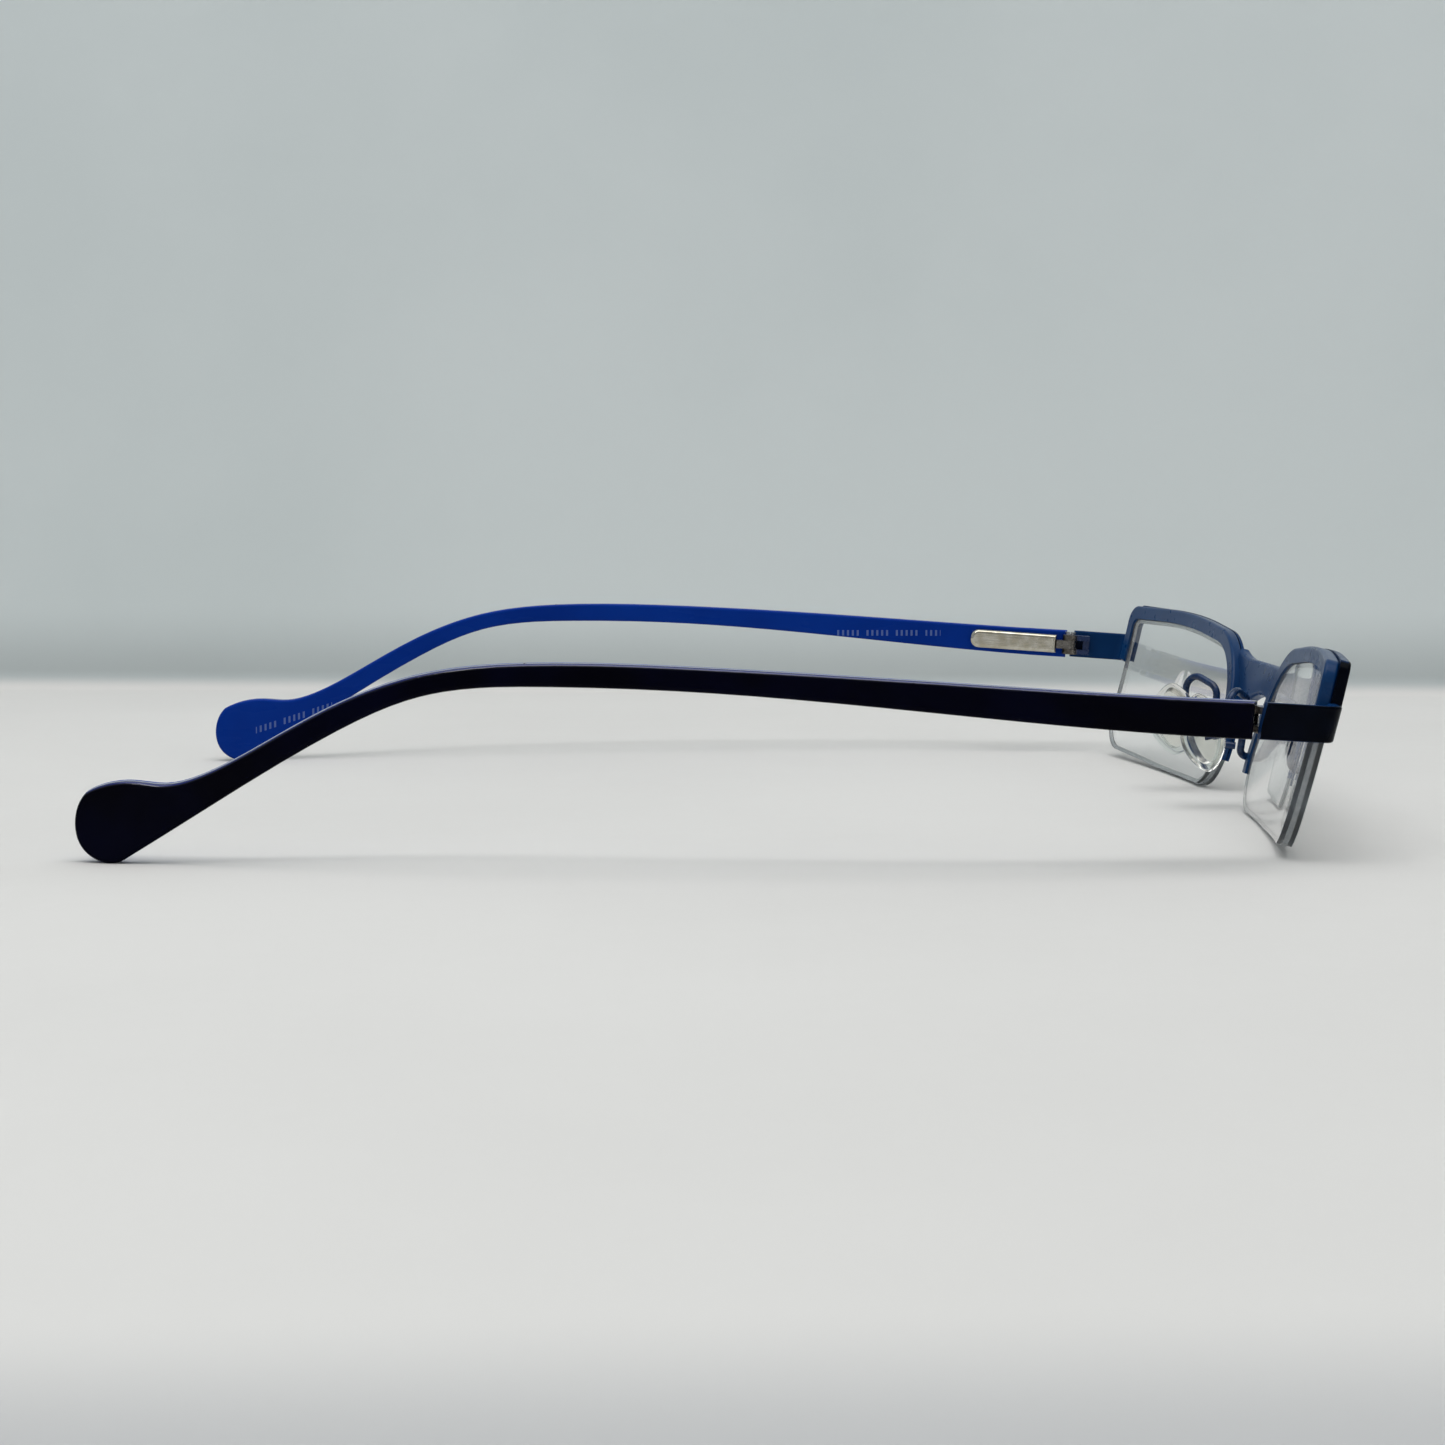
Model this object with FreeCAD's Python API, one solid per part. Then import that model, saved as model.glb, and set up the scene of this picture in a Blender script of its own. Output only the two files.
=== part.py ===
import FreeCAD, Part
import math
import os
from FreeCAD import Vector

# Semi-rimless eyeglasses with spring hinges and adjustable nose pads.  Millimetres, +Z up.
# The front faces -Y, the temples run to +Y, and the whole model is symmetric about X = 0.
# Everything is made for the +X side (the wearer's left) and mirrored for the other.
# Origin: bottom centre of the finished model's bounding box.

# ---- the front ------------------------------------------------------------------------------
lens_width = 51.0           # widest part of one lens
lens_height = 22.0          # bottom edge to crest
lens_gap = 17.6             # between the two lenses at their nearest
lens_thickness = 1.8
lens_curve_radius = 265.0   # base 2 demonstration lens
wrap_angle = 7.3            # each lens turned back at its outer end
tilt_angle = 14.0           # pantoscopic tilt: the lens bottoms lean towards the face
rim_height = 2.1            # band width of the rim seen from the front
rim_behind = 1.2            # rim's rear face behind the middle of the lens
rim_ahead = 1.3             # face plate's front ahead of the middle of the lens
rim_seam = 0.45             # joint between rim and face plate, ahead of the middle of the lens
rim_taper = 0.9             # the plate's front swings this far forward at its outer end
rim_corner_radius = 2.6     # outer top corner of each rim
plate_corner_radius = 1.6   # outer top corner of the face plate
plate_corner_rise = 0.35    # the plate's outer top corner stands this far beyond the rim's
rim_round = 0.35            # rounded outer edges of the rim
outer_leg_drop = 6.6        # rim's outer leg, below the lens top corner
inner_leg_end = -7.2        # rim's nose-side leg stops this far from the lens centre line
groove_width = 0.7          # groove round the lens edge and inside the rim
groove_depth = 0.5
cord_clearance = 0.05       # cord and liner to the groove walls
edge_clearance = 0.08       # lens edge to the rim
bridge_top = 7.5            # above the lens centre line, at the middle
bridge_bottom = 3.1
bridge_depth = 1.7
bridge_forward = 3.4        # bridge middle ahead of the lens centres
bridge_round = 0.5          # rounded edges of the bridge
bridge_half_span = 14.0     # half length before the rims trim its ends
bridge_sweep = 9.1          # drop of its lower edge at those ends
bridge_bow = 1.3            # its ends stand this far behind its middle

# ---- end pieces and hinges ------------------------------------------------------------------
end_piece_height = 4.2
end_piece_thickness = 1.1
end_piece_reach = 4.4       # outward from the rim's outer side to the strap's outer face
end_piece_length = 8.1      # from the rim's outer leg back to the hinge gap
end_piece_bend_radius = 2.2
end_piece_forward = 1.1     # strap's front face ahead of the middle of the lens at the rim's leg
end_piece_drop = 0.4        # bottom of the end piece below the end of the rim's leg
end_piece_lean = 1.0        # share of the pantoscopic tilt that the strap keeps
end_piece_round = 0.3       # rounded top and bottom edges of the strap
fork_length = 3.1           # hinge axis to the front of the fork's foot
box_round = 0.5             # rounded edges of the spring box
hinge_gap = 0.8             # between the end piece and the temple
shank_pitch = 3.9           # the temple rises towards the ear
shank_yaw = 4.5             # the temple starts off turned outward
temple_thickness = 2.4
barrel_radius = 1.15
barrel_inset = temple_thickness + 1.25   # hinge axis inside the outer face of the end piece
leaf_height = 0.8
leaf_inset = 0.4            # inner side of the leaves from the hinge axis
foot_depth = 1.0            # along the end piece
eye_height = 1.3
screw_radius = 0.5
screw_head_radius = 0.85
screw_head_height = 0.45
screw_slot_width = 0.22
running_clearance = 0.05

# ---- spring box -----------------------------------------------------------------------------
box_length = 13.6
box_height = 2.8
box_depth = 2.35
box_start = 2.2             # behind the hinge axis
box_wall = 0.8              # front and rear walls
bore_radius = 0.88
rod_radius = 0.4
neck_width = 1.1
spring_mean_radius = 0.62
spring_wire_radius = 0.13
spring_turns = 9
stop_length = 1.2
spring_travel = 0.9         # how far the sprung slide can draw out

# ---- temples --------------------------------------------------------------------------------
outer_layer = 1.25          # dark layer; the rest is the blue inner layer
temple_front_height = 4.3
shank_height = 2.75         # height of the blade just ahead of the ear bend
straight_length = 17.0      # flat stretch that carries the spring box
bow_radius = 268.0          # outward bow of the temple seen from above
tip_angle = 12.0            # the tips converge by this angle
ear_bend = 91.6             # hinge axis to the corner of the ear bend
drop_angle = 34.4          # the tip's slope below the shank
drop_length = 45.7          # ear bend to the end of the tip
blade_height = 2.9          # between the ear bend and the paddle
paddle_rise = 6.7           # top of the paddle above the drop line
paddle_sink = 2.1           # bottom of the paddle below the drop line
outer_round = 0.5           # rounded long edges of the outer layer
inner_round = 0.4
core_height = 1.1
core_thickness = 0.5
core_start = 17.5

# ---- nose pads ------------------------------------------------------------------------------
pad_height = 10.8
pad_width = 7.0
pad_thickness = 2.4
pad_splay = 28.0            # rear edges further apart than the front edges
pad_flare = 14.0            # bottoms further apart than the tops
pad_half_gap = 10.4         # middle of each pad from the middle of the nose
pad_back = 5.6              # pad centre behind the lens centres
pad_drop = 3.0              # pad centre below the lens centre line
arm_radius = 0.5
arm_rise = 8.0              # loop of the arm above its root on the rim
cup_wall = 0.5
tang_thickness = 0.8
cup_height = 2.4
cup_depth = 2.0
cup_gap = 0.4               # cup's mouth to the back of the pad, so that the pad can rock
pad_screw_radius = 0.4
pad_dome_radius = 16.0      # crowned face of the pad
core_margin = 1.3           # silicone round the stiff core of the pad

X = Vector(1, 0, 0)
Y = Vector(0, 1, 0)
Z = Vector(0, 0, 1)
HERE = Vector(0, 0, 0)

lens_centre_x = (lens_gap + lens_width) / 2
centre_height = 12.2        # lens centre line above the table, about half the lens height


# ---- helpers --------------------------------------------------------------------------------
def grown_corners(corners, grow):
    """Move every side of an anticlockwise polygon outward by grow and return the new corners."""
    sides = []
    count = len(corners)
    for i in range(count):
        a = corners[i]
        b = corners[(i + 1) % count]
        along = Vector(b[0] - a[0], 0, b[1] - a[1]).normalize()
        out = Vector(along.z, 0, -along.x)
        sides.append((Vector(a[0], 0, a[1]) + out * grow, along))
    moved = []
    for i in range(count):
        p, s = sides[i - 1]
        q, t = sides[i]
        cross = s.x * t.z - s.z * t.x
        step = ((q.x - p.x) * t.z - (q.z - p.z) * t.x) / cross
        moved.append(p + s * step)
    return moved


def rounded_wire(points, radii):
    """Closed wire in the XZ plane: straight sides joined by tangent arcs."""
    edges = []
    ends = []
    count = len(points)
    for i in range(count):
        before = (points[i - 1] - points[i]).normalize()
        after = (points[(i + 1) % count] - points[i]).normalize()
        half = before.getAngle(after) / 2
        setback = radii[i] / math.tan(half)
        middle = (before + after).normalize()
        start = points[i] + before * setback
        finish = points[i] + after * setback
        centre = points[i] + middle * (radii[i] / math.sin(half))
        top = centre - middle * radii[i]
        ends.append((start, top, finish))
    for i in range(count):
        start, top, finish = ends[i]
        edges.append(Part.LineSegment(ends[i - 1][2], start).toShape())
        if radii[i] > 0:
            edges.append(Part.Arc(start, top, finish).toShape())
    return Part.Wire(Part.__sortEdges__(edges))


def outline_prism(grow, radii=None, depth=40.0):
    """Prism along Y of the lens outline grown by an amount; own corner radii may be given."""
    corners = [(c[0], c[1]) for c in lens_corners()]
    if radii is None:
        radii = [max(c[2] + grow, 0.3) for c in lens_corners()]
    wire = rounded_wire(grown_corners(corners, grow), radii)
    face = Part.Face(wire)
    face.translate(Vector(0, -depth / 2, 0))
    return face.extrude(Vector(0, depth, 0))


def lens_corners():
    """The lens outline's corners with their radii, anticlockwise, about the lens centre."""
    half = lens_width / 2
    low = -lens_height / 2 - 0.9
    high = low + lens_height
    return [
        (0.0, low - 0.1, 150.0),          # bottom
        (half - 1.0, low + 0.1, 5.5),     # outer side, bottom
        (half - 0.9, high - 1.7, 1.4),    # outer side, top
        (4.0, high - 0.4, 150.0),         # crest
        (-half + 3.9, high - 2.3, 12.5),  # nose side, top
        (-half, low + 0.4, 6.5),          # nose side, bottom
    ]


def curved_layer(offset, thickness):
    """Spherical layer that follows the lens curve; offset is its middle, measured backward."""
    front = lens_curve_radius - offset + thickness / 2
    back = lens_curve_radius - offset - thickness / 2
    centre = Vector(0, lens_curve_radius, 0)
    outer = Part.makeSphere(front, centre, -Y, 0, 90, 360)
    inner = Part.makeSphere(back, centre, -Y, 0, 90, 360)
    return outer.cut(inner)


def rim_layer():
    """Layer that holds the rim, from its rear face to the seam with the face plate."""
    return curved_layer((rim_behind - rim_seam) / 2, rim_behind + rim_seam)


def plate_layer():
    """Layer that holds the face plate: its front swings forward towards the outer end."""
    centre = Vector(0, lens_curve_radius, 0)
    outer = Part.makeSphere(lens_curve_radius + rim_ahead, centre, -Y, 0, 90, 360)
    outer.rotate(HERE, Z, -rim_taper)
    inner = Part.makeSphere(lens_curve_radius + rim_seam, centre, -Y, 0, 90, 360)
    return outer.cut(inner)


def slab(x0, x1, y0, y1, z0, z1):
    """Box between the given corners."""
    return Part.makeBox(x1 - x0, y1 - y0, z1 - z0, Vector(x0, y0, z0))


def rod(radius, start, axis, length):
    """Cylinder."""
    return Part.makeCylinder(radius, length, start, axis)


def in_front(shape):
    """Carry a shape from the lens's own frame to the tilted front."""
    shape = shape.copy()
    shape.rotate(HERE, Z, wrap_angle)
    shape.translate(Vector(lens_centre_x, 0, 0))
    return tilted(shape)


def tilted(shape):
    """Lean the front back by the pantoscopic tilt and lift it to its height."""
    shape = shape.copy()
    shape.rotate(HERE, X, tilt_angle)
    shape.translate(Vector(0, 0, centre_height))
    return shape


def mirrored(shape):
    """The same piece on the other side."""
    return shape.mirror(HERE, X)


def edges_on(shape, skin):
    """Edges of a shape that lie in a thin skin."""
    found = []
    for edge in shape.Edges:
        span = edge.LastParameter - edge.FirstParameter
        samples = [edge.valueAt(edge.FirstParameter + span * share) for share in (0.15, 0.5, 0.85)]
        if all(skin.distToShape(Part.Vertex(p))[0] < 0.01 for p in samples):
            found.append(edge)
    return found


# ---- lens, rim, liner and cord --------------------------------------------------------------
def leg_line():
    """Height of the end of the rim's outer leg, about the lens centre line."""
    return lens_corners()[2][1] - outer_leg_drop


def upper_zone():
    """The part of the lens outline that the rim covers."""
    outer = slab(0, 60, -30, 30, leg_line(), 40)
    inner = slab(-60, 0, -30, 30, inner_leg_end, 40)
    return outer.fuse(inner).removeSplitter()


def lens():
    """Lens with a groove all round its edge."""
    body = outline_prism(0).common(curved_layer(0, lens_thickness))
    ring = outline_prism(1.0).cut(outline_prism(-groove_depth))
    return body.cut(ring.common(curved_layer(0, groove_width)))


def rim_blank(grow):
    """Prism inside the rim's outer outline, with its tight corner at the top outer end."""
    radii = [c[2] + rim_height + grow for c in lens_corners()]
    radii[2] = rim_corner_radius + grow
    return outline_prism(rim_height + grow, radii)


def rim():
    """Half rim: a band over the top and down both sides, grooved inside for the liner."""
    band = rim_blank(0).cut(outline_prism(edge_clearance))
    body = band.common(rim_layer()).common(upper_zone())
    groove = outline_prism(edge_clearance + groove_depth).common(curved_layer(0, groove_width))
    body = body.cut(groove)
    skin = rim_blank(0.01).cut(rim_blank(-0.01))
    return body.makeFillet(rim_round, edges_on(body, skin))


def plate_blank(grow):
    """Prism inside the face plate's outline, whose outer top corner stands beyond the rim's."""
    corners = grown_corners([(c[0], c[1]) for c in lens_corners()], rim_height + grow)
    corners[2] = corners[2] + Vector(plate_corner_rise, 0, plate_corner_rise)
    radii = [c[2] + rim_height + grow for c in lens_corners()]
    radii[2] = plate_corner_radius + grow
    face = Part.Face(rounded_wire(corners, radii))
    face.translate(Vector(0, -20, 0))
    return face.extrude(Vector(0, 40, 0))


def face_plate():
    """Dark plate on the front of the half rim, with its front edge rounded."""
    body = plate_blank(0).cut(outline_prism(edge_clearance)).common(plate_layer()).common(upper_zone())
    skin = plate_blank(0.01).cut(plate_blank(-0.01))
    centre = Vector(0, lens_curve_radius, 0)
    ahead = lens_curve_radius + rim_seam + 0.1
    long_edges = [edge for edge in edges_on(body, skin)
                  if (edge.valueAt(edge.FirstParameter) - centre).Length > ahead
                  and (edge.valueAt(edge.LastParameter) - centre).Length > ahead]
    return body.makeFillet(rim_round, long_edges)


def liner():
    """Nylon strip that sits in the rim's groove and in the lens's groove."""
    reach = groove_depth - cord_clearance
    ring = outline_prism(edge_clearance + reach).cut(outline_prism(-reach))
    ring = ring.common(curved_layer(0, groove_width - 2 * cord_clearance))
    return ring.common(upper_zone())


def cord():
    """Nylon cord that runs round the lower lens edge from leg to leg."""
    reach = groove_depth - cord_clearance
    ring = outline_prism(0.12).cut(outline_prism(-reach))
    ring = ring.common(curved_layer(0, groove_width - 2 * cord_clearance))
    return ring.cut(upper_zone())


def bridge(left_rim_prism):
    """Bridge plate between the rims, flowing into their shoulders."""
    span = bridge_half_span
    foot = bridge_bottom - bridge_sweep
    half_curve = [
        Vector(span, 0, bridge_top + 1.0),
        Vector(span * 0.78, 0, bridge_top + 0.15),
        Vector(span * 0.45, 0, bridge_top),
    ]
    other_half = [Vector(-p.x, 0, p.z) for p in reversed(half_curve)]
    top = Part.BSplineCurve()
    top.interpolate(half_curve + [Vector(0, 0, bridge_top)] + other_half)
    low = Part.Arc(Vector(-span, 0, foot), Vector(0, 0, bridge_bottom), Vector(span, 0, foot))
    left_end = Part.LineSegment(other_half[-1], Vector(-span, 0, foot))
    right_end = Part.LineSegment(Vector(span, 0, foot), half_curve[0])
    wire = Part.Wire([top.toShape(), left_end.toShape(), low.toShape(), right_end.toShape()])
    plate = Part.Face(wire)
    plate.translate(Vector(0, -20, 0))
    plate = plate.extrude(Vector(0, 40, 0))
    plate = plate.common(bowed_band(span))
    long_edges = [edge for edge in plate.Edges if edge.Length > span]
    plate = plate.makeFillet(bridge_round, long_edges)
    plate = plate.cut(left_rim_prism).cut(mirrored(left_rim_prism))
    return tilted(plate)


def bowed_band(span):
    """Upright band, curved in plan, that gives the bridge its depth."""
    rise = bridge_bow
    faces = []
    for shift in (-bridge_depth / 2, bridge_depth / 2):
        middle = -bridge_forward + shift
        faces.append([Vector(-span - 1, middle + rise, 0), Vector(0, middle, 0), Vector(span + 1, middle + rise, 0)])
    front, back = faces
    edges = [
        Part.Arc(*front).toShape(),
        Part.LineSegment(front[2], back[2]).toShape(),
        Part.Arc(*back).toShape(),
        Part.LineSegment(back[0], front[0]).toShape(),
    ]
    face = Part.Face(Part.Wire(Part.__sortEdges__(edges)))
    face.translate(Vector(0, 0, -30))
    return face.extrude(Vector(0, 0, 60))


# ---- end piece and hinge --------------------------------------------------------------------
def leg_point():
    """Middle of the rim's outer leg at the end piece's height, in the model frame."""
    outer_u = lens_width / 2 + rim_height
    wrap = math.radians(wrap_angle)
    tilt = math.radians(tilt_angle)
    height = leg_line() - end_piece_drop + end_piece_height / 2
    sag = (outer_u ** 2 + height ** 2) / (2 * lens_curve_radius)
    x = lens_centre_x + outer_u * math.cos(wrap) - sag * math.sin(wrap)
    back = outer_u * math.sin(wrap) + sag * math.cos(wrap)
    y = back * math.cos(tilt) - height * math.sin(tilt)
    z = centre_height + back * math.sin(tilt) + height * math.cos(tilt)
    return Vector(x, y, z)


def strap_end():
    """Outer edge of the end piece at the hinge gap, and its middle height."""
    corner = leg_point()
    yaw = math.radians(shank_yaw)
    x = corner.x + end_piece_reach + end_piece_length * math.tan(yaw)
    y = corner.y + end_piece_length
    z = corner.z + end_piece_length * math.tan(math.radians(shank_pitch))
    return Vector(x, y, z)


def hinge_centre():
    """Middle of the hinge axis."""
    end = strap_end()
    yaw = math.radians(shank_yaw)
    inward = Vector(-math.cos(yaw), math.sin(yaw), 0)
    along = Vector(math.sin(yaw), math.cos(yaw), 0)
    return end + inward * barrel_inset + along * (hinge_gap / 2)


def at_hinge(shape):
    """Carry a shape from the hinge's own frame (Y along the temple, Z the axis) to the model."""
    shape = shape.copy()
    shape.rotate(HERE, X, shank_pitch)
    shape.rotate(HERE, Z, -shank_yaw)
    shape.translate(hinge_centre())
    return shape


def strap_outline():
    """Plan of the end piece: out from the rim, round the bend and back to the hinge gap."""
    corner = leg_point()
    end = strap_end()
    yaw = math.radians(shank_yaw)
    front = corner.y - end_piece_forward
    outer_x = end.x - (end.y - front) * math.tan(yaw)
    start_x = corner.x - rim_height
    wall = end_piece_thickness
    square = Vector(wall * math.cos(yaw), -wall * math.sin(yaw), 0)
    inner_x = end.x - square.x - (end.y - square.y - front - wall) * math.tan(yaw)
    points = [
        Vector(start_x, 0, front),
        Vector(outer_x, 0, front),
        Vector(end.x, 0, end.y),
        Vector(end.x - square.x, 0, end.y - square.y),
        Vector(inner_x, 0, front + wall),
        Vector(start_x, 0, front + wall),
    ]
    bend = end_piece_bend_radius
    radii = [0, bend, 0, 0, max(bend - wall, 0.3), 0]
    return rounded_wire(points, radii)


def end_piece(rim_shape):
    """Strap from the rim's outer leg to the hinge, leaning with the front, with level edges."""
    corner = leg_point()
    face = Part.Face(strap_outline())
    face.rotate(HERE, X, 90)
    face = face.mirror(HERE, Z).mirror(HERE, Y)
    tilt = math.radians(tilt_angle)
    lift = Vector(0, -math.tan(tilt) * end_piece_lean, 1)
    face.translate(Vector(0, 0, corner.z) - lift * 10)
    strap = face.extrude(lift * 20)
    keep = slab(0, 100, -20, 20, -end_piece_height / 2, end_piece_height / 2)
    keep.rotate(HERE, X, shank_pitch)
    keep.translate(corner)
    gap_plane = slab(-20, 20, -40, -hinge_gap / 2, -10, 10)
    strap = strap.common(keep).common(at_hinge(gap_plane))
    level_edges = [edge for edge in strap.Edges if abs(edge.tangentAt(edge.FirstParameter).z) < 0.2]
    rounded = [edge for edge in level_edges if edge.Length > 2 * end_piece_round + end_piece_thickness]
    return strap.makeFillet(end_piece_round, rounded).cut(rim_shape)


def fork(strap):
    """Front half of the hinge: a foot on the end piece and two leaves with a gap for the eye."""
    half_eye = eye_height / 2 + running_clearance
    top = half_eye + leaf_height
    foot_width = barrel_inset - end_piece_thickness
    solid = None
    for low in (half_eye, -top):
        leaf = rod(barrel_radius, Vector(0, 0, low), Z, leaf_height)
        arm = slab(-leaf_inset, foot_width, -fork_length, -hinge_gap / 2, low, low + leaf_height)
        piece = leaf.fuse(arm).fuse(slab(-leaf_inset, barrel_radius, -hinge_gap, 0, low, low + leaf_height))
        solid = piece if solid is None else solid.fuse(piece)
    foot = slab(0, foot_width, -fork_length, -fork_length + foot_depth, -top, top)
    solid = solid.fuse(foot)
    hole = rod(screw_radius + running_clearance, Vector(0, 0, -5), Z, 10)
    return at_hinge(solid.cut(hole)).cut(strap).removeSplitter()


def hinge_screw():
    """Hinge screw with a slotted head on the upper leaf."""
    top = eye_height / 2 + running_clearance + leaf_height
    shank = rod(screw_radius, Vector(0, 0, -top), Z, 2 * top + running_clearance)
    head = rod(screw_head_radius, Vector(0, 0, top + running_clearance), Z, screw_head_height)
    half_slot = screw_slot_width / 2
    slot = slab(-2, 2, -half_slot, half_slot, top + running_clearance + screw_head_height / 2, 5)
    return at_hinge(shank.fuse(head).cut(slot).removeSplitter())


def carrier():
    """Eye, neck and rod of the sprung slide."""
    eye = rod(barrel_radius, Vector(0, 0, -eye_height / 2), Z, eye_height)
    half = neck_width / 2
    neck = slab(-half + axis_offset(), half + axis_offset(), 0, box_start - running_clearance,
                -eye_height / 2, eye_height / 2)
    wide = slab(-barrel_radius, half + axis_offset(), 0.3, box_start - running_clearance,
                -eye_height / 2, eye_height / 2)
    start = Vector(axis_offset(), box_start - 0.3, 0)
    stem = rod(rod_radius, start, Y, rod_reach() - box_start + 0.3)
    body = eye.fuse(neck).fuse(wide).fuse(stem)
    hole = rod(screw_radius + running_clearance, Vector(0, 0, -5), Z, 10)
    return at_hinge(body.cut(hole).removeSplitter())


def axis_offset():
    """Sideways place of the box's bore in the hinge frame."""
    return barrel_inset - temple_thickness - box_depth / 2


def rod_reach():
    """Rear end of the slide's rod in the hinge frame."""
    return box_start + box_length - box_wall - spring_travel - 0.4


def spring_box():
    """Sprung slide's housing, soldered to the temple's inner face, round at its rear end."""
    x0 = axis_offset() - box_depth / 2
    x1 = axis_offset() + box_depth / 2
    half = box_height / 2
    body = slab(x0, x1, box_start, box_start + box_length - half, -half, half)
    end = rod(half, Vector(x0, box_start + box_length - half, 0), X, box_depth)
    body = body.fuse(end).removeSplitter()
    near = [e for e in body.Edges if max(v.X for v in e.Vertexes) < x0 + 0.01]
    body = body.makeFillet(box_round, near)
    bore = rod(bore_radius, Vector(axis_offset(), box_start + box_wall, 0), Y,
               box_length - 2 * box_wall)
    hole = rod(rod_radius + running_clearance, Vector(axis_offset(), 0, 0), Y, box_start + 2)
    return at_hinge(body.cut(bore).cut(hole))


def slide_stop():
    """Nut on the end of the slide's rod that the spring pushes against."""
    start = rod_reach() - stop_length
    ring = rod(bore_radius - 0.08, Vector(axis_offset(), start, 0), Y, stop_length)
    return at_hinge(ring.cut(rod(rod_radius, Vector(axis_offset(), 0, 0), Y, 40)))


def coil_spring():
    """Compression spring round the rod, between the box's front wall and the stop."""
    start = box_start + box_wall + spring_wire_radius + 0.03
    length = rod_reach() - stop_length - spring_wire_radius - 0.03 - start
    helix = Part.makeHelix(length / spring_turns, length, spring_mean_radius)
    section = Part.Wire(Part.makeCircle(spring_wire_radius, Vector(spring_mean_radius, 0, 0), Y))
    coil = Part.Wire(helix).makePipeShell([section], True, True)
    coil.rotate(HERE, X, -90)
    coil.translate(Vector(axis_offset(), start, 0))
    return at_hinge(coil)


# ---- temples --------------------------------------------------------------------------------
def plan_curve(inset):
    """Edges of the temple seen from above, in the hinge frame's plan, moved inward by inset."""
    outer = barrel_inset - inset
    turn = math.radians(shank_yaw + tip_angle)
    radius = bow_radius - inset
    centre = Vector(outer - radius, straight_length, 0)
    start = Vector(outer, front_face(), 0)
    straight_end = Vector(outer, straight_length, 0)
    middle = centre + Vector(math.cos(turn / 2), math.sin(turn / 2), 0) * radius
    bow_end = centre + Vector(math.cos(turn), math.sin(turn), 0) * radius
    heading = Vector(-math.sin(turn), math.cos(turn), 0)
    finish = bow_end + heading * (ear_bend + drop_length - bow_end.y)
    return [start, straight_end, middle, bow_end, finish]


def front_face():
    """Front end of the temple in the hinge frame."""
    return hinge_gap / 2


def plan_band(inset, thickness, height=60.0):
    """Upright band that follows the temple's plan curve."""
    a = plan_curve(inset)
    b = plan_curve(inset + thickness)
    edges = [
        Part.LineSegment(a[0], a[1]).toShape(),
        Part.Arc(a[1], a[2], a[3]).toShape(),
        Part.LineSegment(a[3], a[4]).toShape(),
        Part.LineSegment(a[4], b[4]).toShape(),
        Part.LineSegment(b[4], b[3]).toShape(),
        Part.Arc(b[3], b[2], b[1]).toShape(),
        Part.LineSegment(b[1], b[0]).toShape(),
        Part.LineSegment(b[0], a[0]).toShape(),
    ]
    face = Part.Face(Part.Wire(edges))
    face.translate(Vector(0, 0, -height / 2))
    return face.extrude(Vector(0, 0, height))


def bent(distance, height):
    """Point of the drooping tip: distance past the ear bend, height above the drop line."""
    drop = math.radians(drop_angle)
    along = Vector(0, math.cos(drop), -math.sin(drop))
    up = Vector(0, math.sin(drop), math.cos(drop))
    return Vector(0, ear_bend, 0.4) + along * distance + up * height


def smooth_edge(points):
    """Smooth curve through points."""
    curve = Part.BSplineCurve()
    curve.interpolate(points)
    return curve.toShape()


def side_profile():
    """Closed side view of the temple in the hinge frame (Y along the shank, Z up)."""
    front = front_face()
    half = temple_front_height / 2
    blade = blade_height / 2
    rise = paddle_rise
    sink = paddle_sink
    end = drop_length
    mid = ear_bend * 0.68
    crest = half - 0.25
    upper = [
        Vector(0, front, half),
        Vector(0, ear_bend * 0.33, half - 0.08),
        Vector(0, mid, crest),
        Vector(0, ear_bend - 12.0, crest - 0.8),
        bent(2.0, blade - 2.05),
        bent(11.8, blade - 0.25),
        bent(end - 24.4, blade),
        bent(end - 16.2, blade + 0.4),
        bent(end - 12.2, rise - 3.7),
        bent(end - 8.9, rise - 1.45),
        bent(end - 6.5, rise - 0.4),
        bent(end - 3.8, rise),
    ]
    lower = [
        bent(end - 4.0, -sink),
        bent(end - 13.8, -blade - 0.3),
        bent(end - 22.5, -blade),
        bent(13.5, -blade),
        bent(3.2, -blade - 1.3),
        Vector(0, ear_bend - 12.0, crest - 0.8 - shank_height * 0.96),
        Vector(0, mid, crest - shank_height),
        Vector(0, ear_bend * 0.33, -half + 0.57),
        Vector(0, front, -half),
    ]
    nose = [
        upper[-1],
        bent(end - 1.0, rise - 2.0),
        bent(end, 1.2),
        bent(end - 1.4, -sink + 0.8),
        lower[0],
    ]
    edges = [
        smooth_edge(upper),
        smooth_edge(nose),
        smooth_edge(lower),
        Part.LineSegment(lower[-1], upper[0]).toShape(),
    ]
    return Part.Wire(edges)


def temple_blank():
    """The temple's side view, extruded across."""
    face = Part.Face(side_profile())
    face.translate(Vector(-30, 0, 0))
    return face.extrude(Vector(60, 0, 0))


def core_channel():
    """Room for the core wire, on the seam between the two layers."""
    band = plan_band(outer_layer - core_thickness / 2, core_thickness)
    zone = slab(-30, 30, core_start, ear_bend - 10, -core_height / 2 + 0.4, core_height / 2 + 0.4)
    return band.common(zone)


def plan_skin(inset):
    """Thin skin at one of the temple's long faces."""
    return plan_band(inset - 0.01, 0.02)


def temple_outer():
    """Outer layer of the temple."""
    body = temple_blank().common(plan_band(0, outer_layer)).cut(core_channel())
    return at_hinge(body.makeFillet(outer_round, edges_on(body, plan_skin(0))))


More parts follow.
